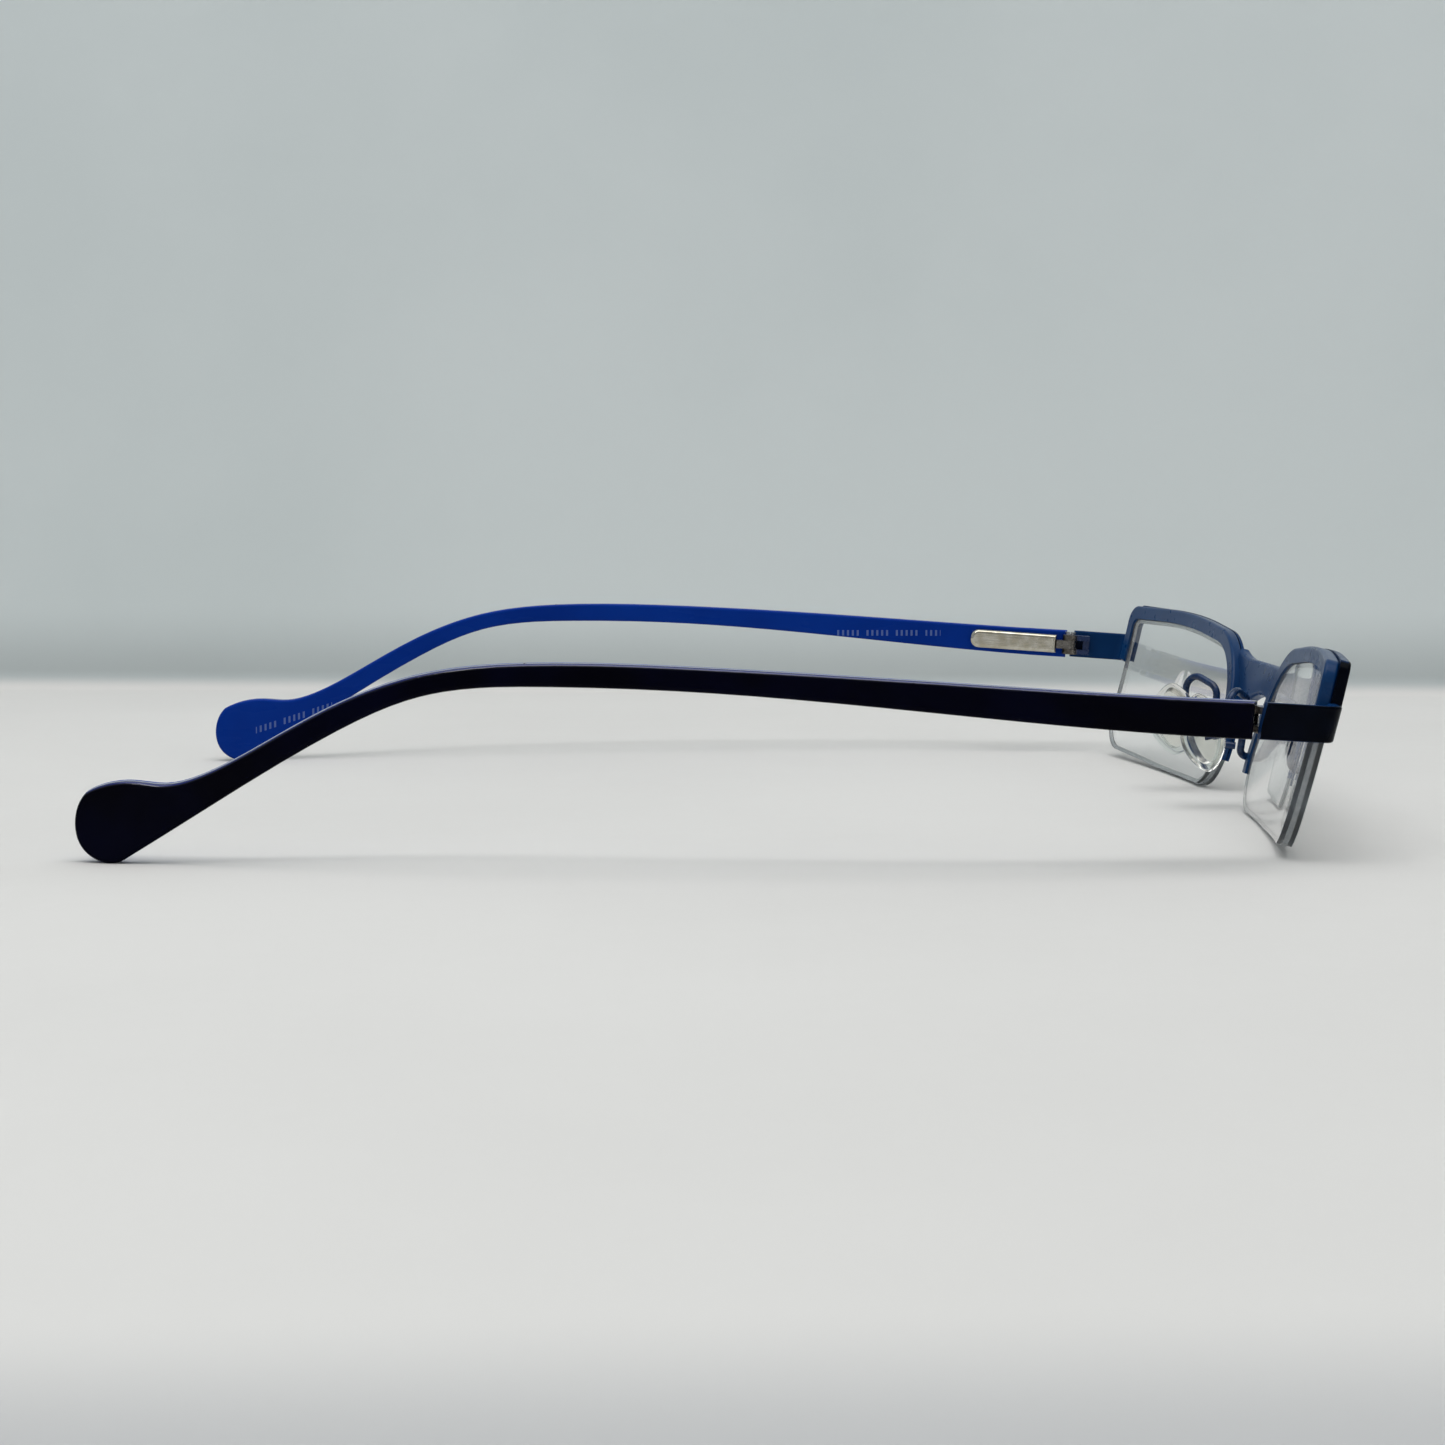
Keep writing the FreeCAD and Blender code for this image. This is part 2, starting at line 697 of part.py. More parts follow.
def temple_inner():
    """Inner layer of the temple."""
    layer = plan_band(outer_layer, temple_thickness - outer_layer)
    body = temple_blank().common(layer).cut(core_channel())
    return at_hinge(body.makeFillet(inner_round, edges_on(body, plan_skin(temple_thickness))))


def core_wire():
    """Flat metal core inside the temple."""
    return at_hinge(core_channel())


# ---- nose pads ------------------------------------------------------------------------------
def at_pad(shape):
    """Carry a shape from the pad's frame (Z up the pad, Y its width, -X to the nose)."""
    shape = shape.copy()
    shape.rotate(HERE, Y, -pad_flare)
    shape.rotate(HERE, Z, -pad_splay)
    shape.translate(pad_centre())
    return shape


def pad_centre():
    """Middle of the pad's back face."""
    tilt = math.radians(tilt_angle)
    y = pad_back * math.cos(tilt) + pad_drop * math.sin(tilt)
    z = centre_height + pad_back * math.sin(tilt) - pad_drop * math.cos(tilt)
    return Vector(pad_half_gap, y, z)


def pad_outline(margin):
    """Rounded oval outline of the pad, less a margin, in the YZ plane."""
    high = pad_height / 2 - margin
    wide = pad_width / 2 - margin
    curve = Part.BSplineCurve()
    curve.interpolate([
        Vector(0, 0, high),
        Vector(0, -wide * 0.85, high * 0.45),
        Vector(0, -wide * 0.9, -high * 0.4),
        Vector(0, 0, -high),
        Vector(0, wide, -high * 0.35),
        Vector(0, wide * 0.8, high * 0.5),
    ], PeriodicFlag=True)
    return Part.Face(Part.Wire(curve.toShape()))


def nose_pad():
    """Soft silicone pad moulded round its core."""
    face = pad_outline(0)
    face.translate(Vector(-pad_thickness, 0, 0))
    body = face.extrude(Vector(pad_thickness, 0, 0))
    dome = Part.makeSphere(pad_dome_radius, Vector(pad_dome_radius - pad_thickness, 0, 0))
    body = body.common(dome)
    return at_pad(body.cut(pad_insert()))


def pad_insert():
    """Stiff core plate with the tang that enters the cup."""
    face = pad_outline(core_margin)
    face.translate(Vector(-pad_thickness * 0.55, 0, 0))
    plate = face.extrude(Vector(pad_thickness * 0.55, 0, 0))
    half = tang_thickness / 2
    tang = slab(0, cup_depth - 0.4, -half, half, -cup_height / 2 + 0.2, cup_height / 2 - 0.2)
    hole = rod(pad_screw_radius + running_clearance, Vector(cup_depth / 2, -5, 0), Y, 10)
    return plate.fuse(tang.cut(hole)).removeSplitter()


def pad_core():
    """The pad's core."""
    return at_pad(pad_insert())


def pad_box():
    """Cup at the end of the pad arm: two cheeks and a back."""
    half = tang_thickness / 2 + running_clearance
    cup = slab(cup_gap, cup_depth + cup_wall, -half - cup_wall, half + cup_wall, -cup_height / 2, cup_height / 2)
    room = slab(-1, cup_depth, -half, half, -5, 5)
    hole = rod(pad_screw_radius, Vector(cup_depth / 2, -5, 0), Y, 10)
    return at_pad(cup.cut(room).cut(hole))


def pad_screw():
    """Screw across the cup, through the tang."""
    half = tang_thickness / 2 + running_clearance + cup_wall
    shank = rod(pad_screw_radius, Vector(cup_depth / 2, -half, 0), Y, 2 * half)
    head = rod(pad_screw_radius * 1.7, Vector(cup_depth / 2, half, 0), Y, 0.35)
    return at_pad(shank.fuse(head).removeSplitter())


def arm_route():
    """Corners of the pad arm's wire, from the rim's nose-side leg over a loop to the cup."""
    wrap = math.radians(wrap_angle)
    tilt = math.radians(tilt_angle)
    leg_u = -lens_width / 2 - rim_height / 2
    leg_v = inner_leg_end + 2.2
    x = lens_centre_x + leg_u * math.cos(wrap)
    back = leg_u * math.sin(wrap) + rim_behind
    root = Vector(x, back * math.cos(tilt) - leg_v * math.sin(tilt),
                  centre_height + back * math.sin(tilt) + leg_v * math.cos(tilt))
    back_of_cup = at_pad(Part.Vertex(cup_depth + cup_wall, 0, 0)).Point
    outward = (back_of_cup - pad_centre()).normalize()
    return [
        root - Y * 0.8,
        root + Vector(0.5, 2.3, 0.4),
        root + Vector(1.6, 1.5, arm_rise),
        back_of_cup + outward * 1.6 + Vector(0, -0.4, arm_rise - 2.6),
        back_of_cup + outward * 1.5,
        back_of_cup - outward * 0.1,
    ]


def bent_wire(points, radii):
    """Open wire through straight runs joined by tangent arcs."""
    edges = []
    last = points[0]
    for i in range(1, len(points) - 1):
        before = (points[i - 1] - points[i]).normalize()
        after = (points[i + 1] - points[i]).normalize()
        half = before.getAngle(after) / 2
        setback = radii[i - 1] / math.tan(half)
        start = points[i] + before * setback
        finish = points[i] + after * setback
        middle = (before + after).normalize()
        top = points[i] + middle * (radii[i - 1] / math.sin(half) - radii[i - 1])
        edges.append(Part.LineSegment(last, start).toShape())
        edges.append(Part.Arc(start, top, finish).toShape())
        last = finish
    edges.append(Part.LineSegment(last, points[-1]).toShape())
    return Part.Wire(edges)


def pad_arm(rim_shape, cup_shape):
    """Wire arm from the rim's nose-side leg, up in a loop and down to the cup."""
    route = arm_route()
    path = bent_wire(route, [1.0, 1.9, 1.9, 1.0])
    section = Part.Wire(Part.makeCircle(arm_radius, route[0], route[1] - route[0]))
    arm = path.makePipeShell([section], True, False)
    return arm.cut(rim_shape).cut(cup_shape)


# ---- assembly -------------------------------------------------------------------------------
def rim_prism():
    """Everything inside the rim's outer outline, in the untilted front."""
    prism = rim_blank(0)
    prism.rotate(HERE, Z, wrap_angle)
    prism.translate(Vector(lens_centre_x, 0, 0))
    return prism


def front_pieces():
    """Lens, rim, face plate, liner, cord and end piece of the left side."""
    rim_shape = in_front(rim())
    plate = in_front(face_plate())
    return {
        "lens": in_front(lens()),
        "rim": rim_shape,
        "rim_plate": plate,
        "rim_liner": in_front(liner()),
        "lens_cord": in_front(cord()),
        "end_piece": end_piece(rim_shape.fuse(plate)),
    }


def hinge_pieces(strap):
    """Fork, screw, sprung slide and its box of the left side."""
    return {
        "hinge_fork": fork(strap),
        "hinge_screw": hinge_screw(),
        "hinge_slide": carrier(),
        "spring_box": spring_box(),
        "spring_stop": slide_stop(),
        "coil_spring": coil_spring(),
    }


def temple_pieces():
    """Layers and core of the left temple."""
    return {
        "temple_outer": temple_outer(),
        "temple_inner": temple_inner(),
        "temple_core": core_wire(),
    }


def pad_pieces(rim_shape):
    """Nose pad, its core, cup, screw and arm on the left side."""
    cup = pad_box()
    return {
        "nose_pad": nose_pad(),
        "pad_core": pad_core(),
        "pad_box": cup,
        "pad_screw": pad_screw(),
        "pad_arm": pad_arm(rim_shape, cup),
    }


def model():
    """Every node's shape, before the model is moved onto its origin."""
    left = front_pieces()
    left.update(hinge_pieces(left["end_piece"]))
    left.update(temple_pieces())
    left.update(pad_pieces(left["rim"].fuse(left["rim_plate"])))
    nodes = {"bridge": bridge(rim_prism())}
    for name, shape in left.items():
        nodes[name + "_left"] = shape
        nodes[name + "_right"] = mirrored(shape)
    return nodes


def to_origin(nodes):
    """Move that puts the bottom centre of all nodes at the origin."""
    boxes = [shape.optimalBoundingBox() for shape in nodes.values()]
    front = min(box.YMin for box in boxes)
    back = max(box.YMax for box in boxes)
    low = min(box.ZMin for box in boxes)
    return Vector(0, -(front + back) / 2, -low)


def export_all():
    """Write one STEP file per node."""
    os.makedirs("parts", exist_ok=True)
    nodes = model()
    move = to_origin(nodes)
    for name, shape in sorted(nodes.items()):
        placed = shape.copy()
        placed.translate(move)
        box = placed.optimalBoundingBox()
        placed.exportStep("parts/" + name + ".step")
        print(f"{name:20s} valid {placed.isValid()} solids {len(placed.Solids)} volume {placed.Volume:9.3f}"
              f" x {box.XMin:7.2f} {box.XMax:7.2f} y {box.YMin:7.2f} {box.YMax:7.2f}"
              f" z {box.ZMin:6.2f} {box.ZMax:6.2f}")
    print("moved by", move)


if __name__ == "__main__":
    export_all()
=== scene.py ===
"""Half-rim eyeglasses with two-layer temples, sprung hinges and silicone nose pads on a pale table."""
import math
import bmesh
import bpy
from mathutils import Matrix, Vector

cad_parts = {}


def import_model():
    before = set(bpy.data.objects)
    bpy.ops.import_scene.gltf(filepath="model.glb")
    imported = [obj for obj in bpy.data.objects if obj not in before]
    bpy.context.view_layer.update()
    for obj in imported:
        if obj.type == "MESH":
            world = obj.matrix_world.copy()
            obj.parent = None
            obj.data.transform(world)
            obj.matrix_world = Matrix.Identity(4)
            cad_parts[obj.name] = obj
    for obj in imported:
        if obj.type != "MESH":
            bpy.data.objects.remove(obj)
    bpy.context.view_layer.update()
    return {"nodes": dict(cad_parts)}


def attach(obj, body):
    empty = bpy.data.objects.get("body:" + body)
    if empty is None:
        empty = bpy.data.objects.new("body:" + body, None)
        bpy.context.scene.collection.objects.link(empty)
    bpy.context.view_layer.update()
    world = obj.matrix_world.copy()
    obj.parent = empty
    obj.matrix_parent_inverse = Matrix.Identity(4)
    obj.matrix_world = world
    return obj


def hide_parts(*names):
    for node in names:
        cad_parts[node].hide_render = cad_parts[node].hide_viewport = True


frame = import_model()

SIDES = (("left", 1), ("right", -1))
MM = 0.001


# ---------------------------------------------------------------- colours and materials

def linear(red, green, blue):
    """Linear colour from 0-255 display values."""
    out = []
    for value in (red, green, blue):
        c = value / 255
        out.append(c / 12.92 if c <= 0.04045 else ((c + 0.055) / 1.055) ** 2.4)
    return (*out, 1.0)


class Paint:
    """A node material with one principled shader and a few helpers to wire patterns into it."""

    def __init__(self, name, **constants):
        self.material = bpy.data.materials.new(name)
        self.material.use_nodes = True
        self.tree = self.material.node_tree
        self.shader = self.tree.nodes["Principled BSDF"]
        self.place = self.tree.nodes.new("ShaderNodeTexCoord")
        for socket, value in constants.items():
            self.shader.inputs[socket.replace("_", " ")].default_value = value

    def node(self, kind, **settings):
        made = self.tree.nodes.new(kind)
        for key, value in settings.items():
            setattr(made, key, value)
        return made

    def link(self, source, target):
        self.tree.links.new(source, target)

    def set_or_link(self, socket, value):
        if isinstance(value, bpy.types.NodeSocket):
            self.link(value, socket)
        else:
            socket.default_value = value

    def spots(self, scale, detail=2.0, roughness=0.5, stretch=None):
        """Noise over the surface, with scale in cycles per metre."""
        source = self.place.outputs["Object"]
        if stretch:
            mapping = self.node("ShaderNodeMapping")
            mapping.inputs["Scale"].default_value = stretch
            self.link(source, mapping.inputs["Vector"])
            source = mapping.outputs["Vector"]
        noise = self.node("ShaderNodeTexNoise")
        noise.inputs["Scale"].default_value = scale
        noise.inputs["Detail"].default_value = detail
        noise.inputs["Roughness"].default_value = roughness
        self.link(source, noise.inputs["Vector"])
        return noise.outputs["Fac"]

    def ramp(self, value, low, high, start=0.0, end=1.0):
        """Maps value from low..high to start..end, clamped and smoothed."""
        step = self.node("ShaderNodeMapRange", interpolation_type="SMOOTHSTEP")
        self.link(value, step.inputs["Value"])
        for socket, number in zip(("From Min", "From Max", "To Min", "To Max"), (low, high, start, end)):
            step.inputs[socket].default_value = number
        return step.outputs["Result"]

    def maths(self, operation, a, b=0.0, c=0.0):
        step = self.node("ShaderNodeMath", operation=operation)
        for socket, value in zip(step.inputs, (a, b, c)):
            self.set_or_link(socket, value)
        return step.outputs["Value"]

    def part(self, source, axis):
        """One axis of the object place or of the normal."""
        split = self.node("ShaderNodeSeparateXYZ")
        self.link(self.place.outputs[source], split.inputs["Vector"])
        return split.outputs[axis]

    def blend(self, share, colour_a, colour_b):
        mix = self.node("ShaderNodeMix", data_type="RGBA")
        self.set_or_link(mix.inputs[0], share)
        self.set_or_link(mix.inputs[6], colour_a)
        self.set_or_link(mix.inputs[7], colour_b)
        return mix.outputs[2]

    def colour(self, value):
        self.set_or_link(self.shader.inputs["Base Color"], value)

    def rough(self, value):
        self.set_or_link(self.shader.inputs["Roughness"], value)

    def bump(self, height, strength, distance):
        """Raises the surface by up to distance metres."""
        made = self.node("ShaderNodeBump")
        made.inputs["Strength"].default_value = strength
        made.inputs["Distance"].default_value = distance
        self.link(height, made.inputs["Height"])
        self.link(made.outputs["Normal"], self.shader.inputs["Normal"])


def use(node_name, paint):
    """Gives a CAD node its material."""
    slots = frame["nodes"][node_name].data.materials
    slots.clear()
    slots.append(paint.material)


def navy_lacquer():
    """Near-black navy layer with faint polish smears; its upper bevel is painted a lighter blue as a
    painted highlight from the overhead light, and has a glossy coat.
    """
    p = Paint("navy_lacquer", IOR=1.5, Specular_IOR_Level=0.03, Coat_Roughness=0.06)
    mottling = p.ramp(p.spots(90, 3), 0.35, 0.7)
    deep = p.blend(mottling, linear(1, 1, 9), linear(2, 3, 22))
    upward = p.part("Normal", "Z")
    # Painted highlight: faces turned upward are painted lighter blue, standing in for the overhead light
    # on the top bevel.
    p.colour(p.blend(p.ramp(upward, 0.35, 0.85), deep, linear(22, 36, 104)))
    p.link(p.ramp(upward, 0.2, 0.6), p.shader.inputs["Coat Weight"])
    smear = p.spots(260, 4, stretch=(1, 0.2, 1))
    p.rough(p.ramp(smear, 0.3, 0.8, 0.06, 0.16))
    p.bump(p.spots(700, 2), 0.04, 0.00004)
    return p


def marks(p, up, pitch, start, end, low, high):
    """Mask of a row of small upright strokes in groups, like the graduations of a size gauge.

    The row runs along Y from start to end, between the heights low and high of up, all in metres.
    """
    stroke_share, strokes_in_group, group_share = 0.42, 6.2, 0.8
    along = p.part("Object", "Y")

    def between(value, lowest, highest):
        above = p.maths("GREATER_THAN", value, lowest)
        return p.maths("MULTIPLY", above, p.maths("LESS_THAN", value, highest))

    def beat(length, share):
        return p.maths("LESS_THAN", p.maths("FRACT", p.maths("MULTIPLY", along, 1 / length)), share)

    window = p.maths("MULTIPLY", between(along, start, end), between(up, low, high))
    rhythm = p.maths("MULTIPLY", beat(pitch, stroke_share), beat(pitch * strokes_in_group, group_share))
    return p.maths("MULTIPLY", window, rhythm)


def blue_layer():
    """Royal blue inner layer: satin acetate with a slight depth, a painted highlight that lightens its
    upward faces, and two rows of plain gauge marks.
    """
    p = Paint("blue_layer", IOR=1.48, Specular_IOR_Level=0.05)
    cloud = p.ramp(p.spots(70, 4), 0.3, 0.75)
    base = p.blend(cloud, linear(1, 42, 128), linear(4, 50, 142))
    # Painted highlight: faces turned upward are painted lighter blue, standing in for the overhead light
    # on the top face.
    base = p.blend(p.ramp(p.part("Normal", "Z"), 0.5, 0.95), base, linear(30, 66, 158))
    height = p.part("Object", "Z")
    tip_slope, print_strength = 0.313, 0.3
    along_tip = p.maths("ADD", height, p.maths("MULTIPLY", p.part("Object", "Y"), tip_slope))
    front_marks = marks(p, height, 0.00078, start=-0.0372, end=-0.0200, low=0.0183, high=0.0192)
    tip_marks = marks(p, along_tip, 0.00072, start=0.0585, end=0.0700, low=0.0261, high=0.0271)
    printed = p.maths("MULTIPLY", p.maths("MAXIMUM", front_marks, tip_marks), print_strength)
    p.colour(p.blend(printed, base, linear(150, 170, 205)))
    p.rough(p.ramp(p.spots(240, 4, stretch=(1, 0.25, 1)), 0.3, 0.8, 0.24, 0.36))
    p.bump(p.spots(700, 2), 0.08, 0.00004)
    return p


def front_paint():
    """Satin steel-blue lacquer on metal with fine flake; the bridge's front is navy."""
    p = Paint("front_paint", IOR=1.5, Specular_IOR_Level=0.12, Coat_Weight=0.10, Coat_Roughness=0.08)
    flake = p.ramp(p.spots(2600, 2), 0.4, 0.65)
    cloud = p.ramp(p.spots(160, 3), 0.3, 0.7)
    steel = p.blend(cloud, linear(10, 52, 97), linear(13, 56, 102))
    steel = p.blend(p.maths("MULTIPLY", flake, 0.04), steel, linear(40, 80, 122))
    ahead = p.ramp(p.part("Normal", "Y"), -0.55, -0.8)
    p.colour(p.blend(ahead, steel, linear(6, 14, 36)))
    p.rough(p.ramp(p.spots(500, 4), 0.3, 0.75, 0.27, 0.31))
    p.bump(p.spots(2600, 1), 0.01, 0.000003)
    return p


def strap_paint(name):
    """Two-tone lacquer of end pieces and face plates: navy outside and ahead, steel blue inside."""
    p = Paint(name, IOR=1.5, Specular_IOR_Level=0.03, Coat_Weight=0.02, Coat_Roughness=0.08)
    cloud = p.ramp(p.spots(160, 3), 0.3, 0.7)
    steel = p.blend(cloud, linear(12, 47, 90), linear(15, 51, 95))
    side = p.maths("MULTIPLY", p.part("Normal", "X"), p.maths("SIGN", p.part("Object", "X")))
    outer = p.maths("SUBTRACT", side, p.part("Normal", "Y"))
    dark = p.ramp(outer, 0.35, 0.75)
    navy_tone = p.blend(cloud, linear(1, 3, 10), linear(4, 9, 24))
    p.colour(p.blend(dark, steel, navy_tone))
    p.rough(p.ramp(p.spots(500, 4), 0.3, 0.75, 0.22, 0.26))
    p.bump(p.spots(2600, 1), 0.01, 0.000003)
    return p


def arm_paint():
    """Blue lacquered nickel wire of the pad arms."""
    p = Paint("arm_paint", IOR=1.5, Specular_IOR_Level=0.3, Coat_Weight=0.25, Coat_Roughness=0.1)
    cloud = p.ramp(p.spots(900, 3), 0.3, 0.7)
    p.colour(p.blend(cloud, linear(8, 34, 70), linear(22, 54, 96)))
    p.rough(p.ramp(p.spots(1500, 3), 0.3, 0.75, 0.22, 0.36))
    p.bump(p.spots(3000, 2), 0.06, 0.00001)
    return p


def bare_metal(name, tint_a, tint_b, rough_a, rough_b, grain):
    """Bright metal with fine drawn lines along Y and a soft tarnish."""
    p = Paint(name, Metallic=1.0)
    tarnish = p.ramp(p.spots(700, 4), 0.3, 0.75)
    p.colour(p.blend(tarnish, tint_a, tint_b))
    lines = p.spots(6000, 3, stretch=(1, 0.05, 1))
    p.rough(p.ramp(lines, 0.3, 0.75, rough_a, rough_b))
    p.bump(lines, grain, 0.00002)
    return p


def painted_fork():
    """Hinge fork: bare brownish nickel at the leaves, lacquered blue ahead of its foot's rear face."""
    p = Paint("fork_metal")
    foot_start, foot_full = -0.0582, -0.0587
    foot = p.ramp(p.part("Object", "Y"), foot_start, foot_full)
    tarnish = p.ramp(p.spots(700, 4), 0.3, 0.75)
    bare = p.blend(tarnish, linear(92, 86, 80), linear(134, 128, 120))
    p.colour(p.blend(foot, bare, linear(10, 38, 82)))
    p.set_or_link(p.shader.inputs["Metallic"], p.maths("SUBTRACT", 1.0, foot))
    p.rough(p.ramp(p.spots(1800, 3), 0.3, 0.75, 0.24, 0.4))
    p.bump(p.spots(3000, 2), 0.12, 0.00002)
    return p


def lens_glass():
    """Clear lens: polished faces, ground grey edge."""
    p = Paint("lens_clear", IOR=1.5, Transmission_Weight=1.0)
    facing = p.maths("ABSOLUTE", p.part("Normal", "Y"))
    edge = p.ramp(facing, 0.72, 0.6)
    p.colour(p.blend(edge, (0.985, 0.99, 0.99, 1), linear(156, 164, 170)))
    dust = p.ramp(p.spots(1200, 4), 0.5, 0.9, 0.0, 0.02)
    p.rough(p.maths("ADD", p.maths("MULTIPLY", edge, 0.42), dust))
    p.bump(p.spots(5000, 2), 0.02, 0.00001)
    return p


def clear_plastic(name, tint, rough, waves):
    """Clear silicone or plastic with soft moulding waves; its low index keeps thick pads pale."""
    p = Paint(name, IOR=1.24, Transmission_Weight=1.0)
    haze = p.ramp(p.spots(400, 3), 0.3, 0.8)
    paler = [channel * 1.03 for channel in tint]
    p.colour(p.blend(haze, (*paler, 1), (*tint, 1)))
    p.rough(p.ramp(p.spots(900, 3), 0.3, 0.8, rough, rough + 0.08))
    p.bump(p.spots(waves, 2), 0.25, 0.0001)
    return p


def nylon_thread():
    """Clear nylon thread."""
    p = Paint("nylon_thread", IOR=1.53, Transmission_Weight=0.6)
    p.colour(p.blend(p.ramp(p.spots(2000, 3), 0.3, 0.7), linear(190, 196, 200), linear(214, 218, 220)))
    p.rough(p.ramp(p.spots(4000, 2), 0.3, 0.8, 0.12, 0.25))
    p.bump(p.spots(6000, 2), 0.1, 0.00001)
    return p


navy = navy_lacquer()
blue = blue_layer()
steel_blue = front_paint()
strap = strap_paint("strap_paint")
plate = strap_paint("plate_paint")
arm = arm_paint()
champagne = bare_metal("champagne_nickel", linear(176, 170, 152), linear(206, 202, 190),
                       0.12, 0.26, 0.12)
hinge_nickel = bare_metal("hinge_nickel", linear(96, 92, 88), linear(140, 136, 130), 0.22, 0.4, 0.15)
fork_metal = painted_fork()
screw_steel = bare_metal("screw_steel", linear(150, 150, 152), linear(190, 190, 192), 0.18, 0.3, 0.1)
spring_wire = bare_metal("spring_wire", linear(120, 122, 126), linear(170, 172, 176), 0.2, 0.3, 0.05)
core_steel = bare_metal("core_steel", linear(130, 132, 136), linear(168, 170, 174), 0.2, 0.34, 0.1)
glass = lens_glass()
nylon = nylon_thread()
silicone = clear_plastic("pad_silicone", (0.95, 0.95, 0.92), 0.10, 500)
core_plastic = clear_plastic("pad_core_plastic", (0.86, 0.86, 0.83), 0.14, 900)

use("bridge", steel_blue)
for side, _ in SIDES:
    for node_name, paint in (
        ("rim", steel_blue), ("rim_plate", plate), ("lens", glass), ("rim_liner", nylon),
        ("lens_cord", nylon), ("end_piece", strap), ("hinge_fork", fork_metal),
        ("hinge_screw", screw_steel), ("hinge_slide", hinge_nickel), ("spring_box", champagne),
        ("spring_stop", screw_steel), ("coil_spring", spring_wire), ("temple_outer", navy),
        ("temple_inner", blue), ("temple_core", core_steel), ("pad_core", core_plastic),
        ("pad_box", arm), ("pad_screw", screw_steel), ("pad_arm", arm),
    ):
        use(node_name + "_" + side, paint)


# ---------------------------------------------------------------- nose pads

# In millimetres, for the left pad: X out of its back face, Z up its length, before it is turned.
PAD_CENTRE = Vector((10.4, -64.05, 10.33))   # middle of the back face
PAD_FLARE, PAD_SPLAY = math.radians(14), math.radians(28)
PAD_HALF_WIDTH, PAD_HALF_HEIGHT = 3.45, 5.35
PAD_BACK, PAD_CROWN = -0.04, -2.30           # X of the back's middle and of the skin side's
PAD_OUTLINE_POINTS = 36
PAD_PROFILE = (                              # X and share of the outline, from back to crown
    (-0.03, 0.52), (0.0, 0.84), (-0.18, 0.95), (-0.7, 1.0), (-1.35, 0.985),
    (-1.85, 0.9), (-2.16, 0.74), (-2.28, 0.5), (PAD_CROWN, 0.24),
)


def pad_outline():
    """Smooth closed outline of the pad in its own YZ plane: a curve through six knots."""
    wide, high = PAD_HALF_WIDTH, PAD_HALF_HEIGHT
    knots = [(0, high), (-wide * 0.85, high * 0.45), (-wide * 0.9, -high * 0.4),
             (0, -high), (wide, -high * 0.35), (wide * 0.8, high * 0.5)]
    steps = PAD_OUTLINE_POINTS // len(knots)
    points = []
    for i in range(len(knots)):
        a, b, c, d = (Vector(knots[(i + k) % len(knots)]) for k in (-1, 0, 1, 2))
        for step in range(steps):
            t = step / steps
            points.append(0.5 * (2 * b + (c - a) * t + (2 * a - 5 * b + 4 * c - d) * t * t
                                 + (3 * b - a - 3 * c + d) * t * t * t))
    return points


def nose_pad(side, sign):
    """Crowned silicone pad: a nearly flat back with a rolled edge, and a domed skin side."""
    outline = pad_outline()
    turn = Matrix.Rotation(-PAD_SPLAY, 4, "Z") @ Matrix.Rotation(-PAD_FLARE, 4, "Y")
    made = bmesh.new()

    def vertex(x, y, z):
        place = turn @ Vector((x, y, z)) + PAD_CENTRE
        return made.verts.new((sign * place.x * MM, place.y * MM, place.z * MM))

    rows = [[vertex(x, y * share, z * share) for y, z in outline] for x, share in PAD_PROFILE]
    back, front = vertex(PAD_BACK, 0, 0), vertex(PAD_CROWN, 0, 0)
    count = len(outline)
    for i in range(count):
        j = (i + 1) % count
        made.faces.new((back, rows[0][j], rows[0][i]))
        made.faces.new((front, rows[-1][i], rows[-1][j]))
        for low, high in zip(rows, rows[1:]):
            made.faces.new((low[i], low[j], high[j], high[i]))
    bmesh.ops.recalc_face_normals(made, faces=made.faces)
    mesh = bpy.data.meshes.new("silicone_pad_" + side)
    made.to_mesh(mesh)
    made.free()
    for face in mesh.polygons:
        face.use_smooth = True
    mesh.materials.append(silicone.material)
    pad = bpy.data.objects.new("silicone_pad_" + side, mesh)
    bpy.context.scene.collection.objects.link(pad)
    smooth = pad.modifiers.new("smooth", "SUBSURF")
    smooth.levels = smooth.render_levels = 2
    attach(pad, "pad_" + side)
    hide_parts("nose_pad_" + side)


for side, sign in SIDES:
    nose_pad(side, sign)


# ---------------------------------------------------------------- table, wall and light

# Two points of the fold between table and wall, and the sheet's sizes, in metres.
WALL_LEFT = Vector((0.1895, 0.1284, 0))
WALL_RIGHT = Vector((0.1640, -0.1394, 0))
SHEET_HALF_WIDTH, TABLE_DEPTH, WALL_HEIGHT, FOLD_RADIUS = 2.2, 1.6, 1.6, 0.004
FOLD_STEPS = 12


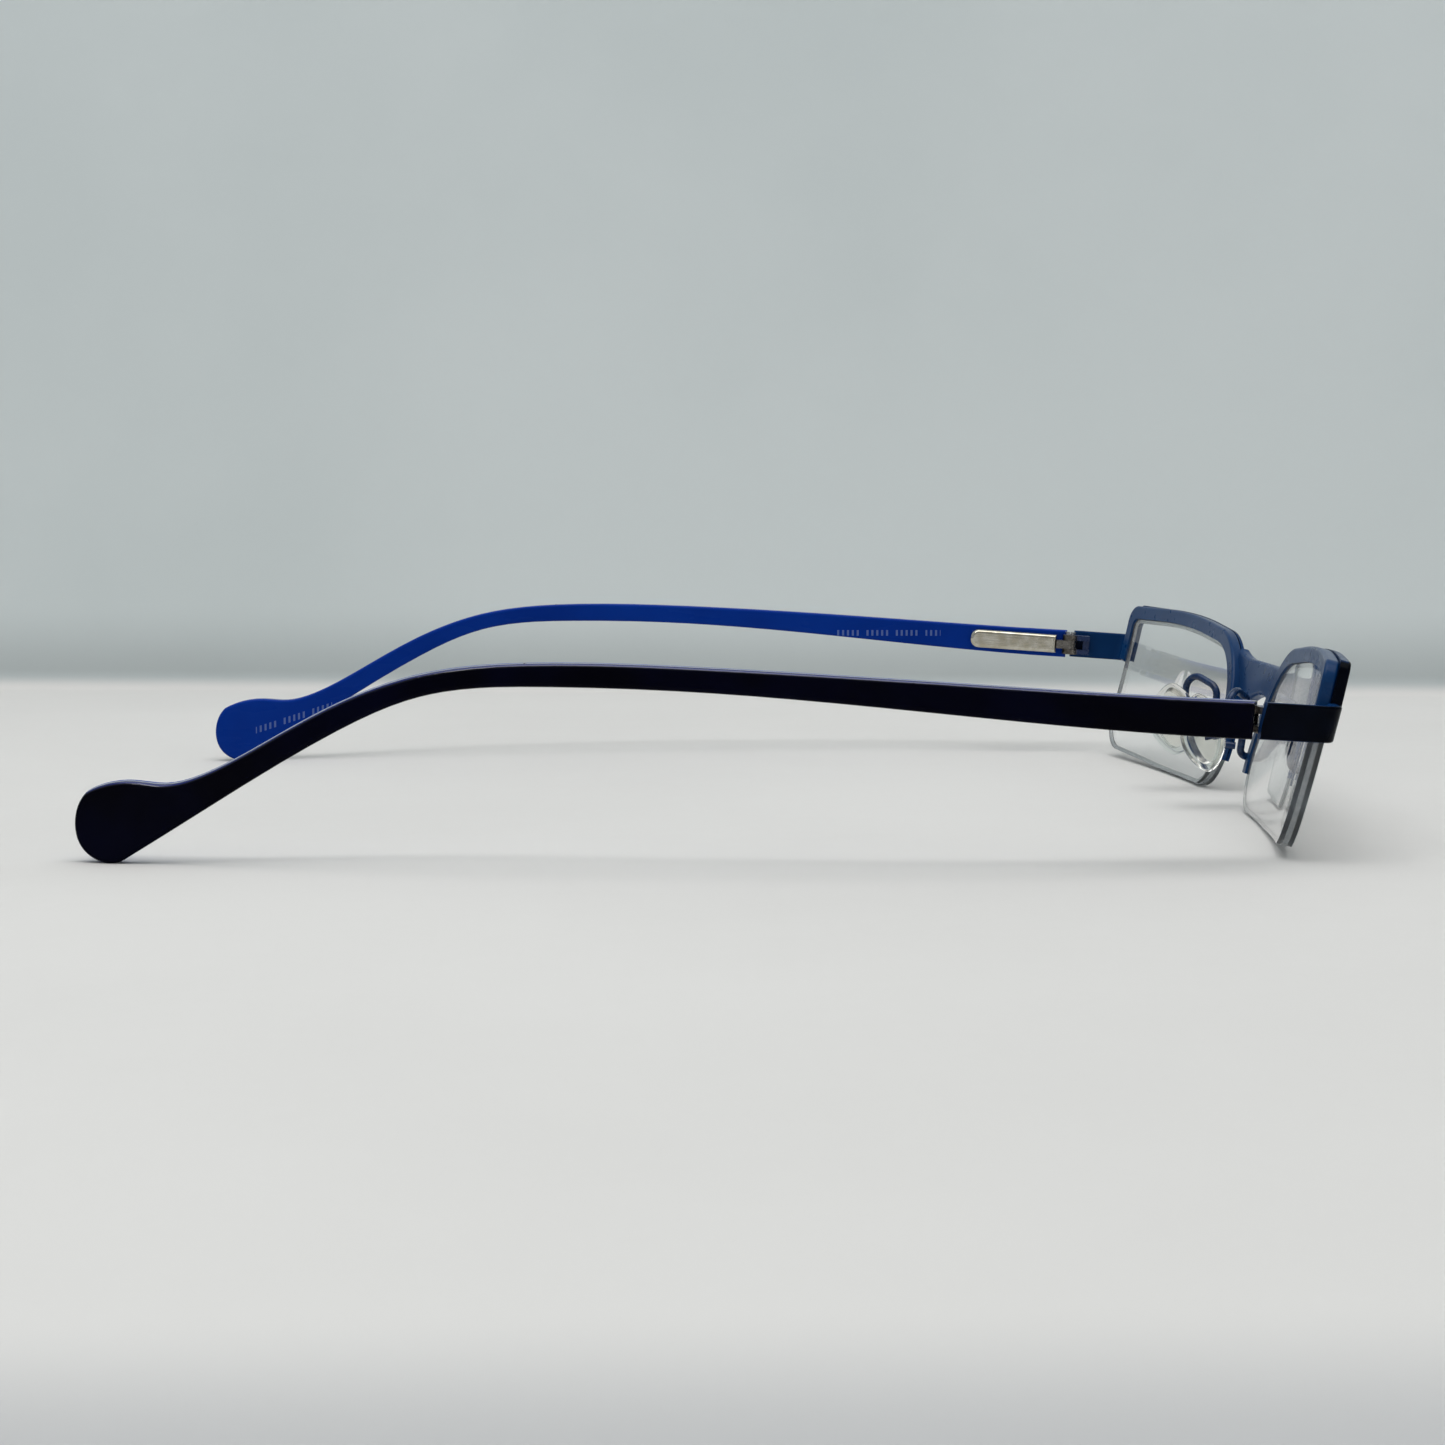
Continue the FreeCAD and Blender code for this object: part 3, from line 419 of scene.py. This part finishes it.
def studio_paint():
    """Matt white table that turns into a pale grey-green wall at the fold, with painted shade darkening
    the wall's foot; clear from behind.
    """
    p = Paint("studio_matt", Specular_IOR_Level=0.12)
    height = p.part("Object", "Z")
    wall = p.ramp(height, 0.0004, 0.0030)
    mottling = p.ramp(p.spots(9, 4), 0.3, 0.7)
    table = p.blend(mottling, linear(223, 221, 218), linear(227, 225, 222))
    wall_tone = p.blend(mottling, linear(213, 221, 221), linear(221, 228, 228))
    # Painted shade: the wall is darkened towards its foot, where it meets the table.
    foot = p.ramp(height, 0.018, 0.002)
    wall_tone = p.blend(p.maths("MULTIPLY", foot, 0.6), wall_tone, linear(170, 177, 177))
    # The table turns darker grey towards the front, below x = -0.222 m.
    darker_towards_front = p.ramp(p.part("Object", "X"), -0.222, -0.245)
    table = p.blend(darker_towards_front, table, linear(196, 196, 196))
    p.colour(p.blend(wall, table, wall_tone))
    p.rough(p.ramp(p.spots(300, 3), 0.3, 0.7, 0.75, 0.9))
    p.bump(p.spots(1400, 3), 0.10, 0.00005)
    clear = p.node("ShaderNodeBsdfTransparent")
    behind = p.node("ShaderNodeNewGeometry")
    mix = p.node("ShaderNodeMixShader")
    p.link(behind.outputs["Backfacing"], mix.inputs["Fac"])
    p.link(p.shader.outputs["BSDF"], mix.inputs[1])
    p.link(clear.outputs["BSDF"], mix.inputs[2])
    p.link(mix.outputs["Shader"], p.tree.nodes["Material Output"].inputs["Surface"])
    return p


def studio():
    """Table and wall in one sheet with a small rounded fold, as wide as any view needs."""
    along = (WALL_RIGHT - WALL_LEFT).normalized()
    away = Vector((-along.y, along.x, 0))
    middle = (WALL_LEFT + WALL_RIGHT) / 2
    turns = [math.radians(90 * i / FOLD_STEPS) for i in range(FOLD_STEPS + 1)]
    rows = [(-TABLE_DEPTH, 0.0)]
    rows += [(-FOLD_RADIUS + FOLD_RADIUS * math.sin(a), FOLD_RADIUS - FOLD_RADIUS * math.cos(a))
             for a in turns]
    rows.append((0.0, WALL_HEIGHT))
    points, faces = [], []
    for distance, up in rows:
        for step in (-1, 1):
            place = middle + along * SHEET_HALF_WIDTH * step + away * distance
            points.append((place.x, place.y, up))
    for i in range(len(rows) - 1):
        faces.append((2 * i, 2 * i + 1, 2 * i + 3, 2 * i + 2))
    mesh = bpy.data.meshes.new("studio_sheet")
    mesh.from_pydata(points, [], faces)
    mesh.update()
    mesh.materials.append(studio_paint().material)
    for face in mesh.polygons:
        face.use_smooth = True
    sheet = bpy.data.objects.new("studio_sheet", mesh)
    bpy.context.scene.collection.objects.link(sheet)


def aim(obj, place, direction):
    """Stands a lamp or camera at place, looking along direction."""
    obj.location = place
    obj.rotation_mode = "QUATERNION"
    obj.rotation_quaternion = direction.to_track_quat("-Z", "Y")
    bpy.context.scene.collection.objects.link(obj)


def lamp(name, place, target, size, watts, size_y=None):
    """Rectangular lamp at place, shining at target; square unless size_y is given."""
    data = bpy.data.lights.new(name, "AREA")
    data.shape = "RECTANGLE"
    data.size = size
    data.size_y = size_y or size
    data.energy = watts
    aim(bpy.data.objects.new(name, data), place, Vector(target) - Vector(place))


def world():
    """Dim even room light, a little cool."""
    made = bpy.data.worlds.new("room")
    made.use_nodes = True
    back = made.node_tree.nodes["Background"]
    back.inputs["Color"].default_value = (0.93, 0.97, 1.0, 1)
    back.inputs["Strength"].default_value = 0.35
    bpy.context.scene.world = made


def camera():
    """The photo's viewpoint: beside the right temple, a little above the table."""
    yaw, pitch = math.radians(-1.91), math.radians(-5.42)
    data = bpy.data.cameras.new("view")
    data.sensor_width = 36.0
    data.lens = 67.74
    data.clip_start = 0.01
    data.clip_end = 20.0
    obj = bpy.data.objects.new("view", data)
    look = (math.cos(pitch) * math.cos(yaw), math.cos(pitch) * math.sin(yaw), math.sin(pitch))
    aim(obj, (-0.3660, 0.01199, 0.04549), Vector(look))
    bpy.context.scene.camera = obj


studio()
world()
camera()
lamp("overhead", (0.02, 0.0, 0.95), (0.0, 0.0, 0.0), 1.2, 5.7)
lamp("key", (0.45, 0.05, 0.86), (0.0, 0.0, 0.0), 0.26, 3.9)
lamp("wall_wash", (-0.25, 0.0, 1.10), (0.20, 0.0, 0.25), 0.8, 3.0)
lamp("glint", (-0.30, 0.30, 0.55), (0.0, -0.05, 0.0), 0.04, 0.25, size_y=0.16)
bpy.context.scene.view_settings.view_transform = "Standard"
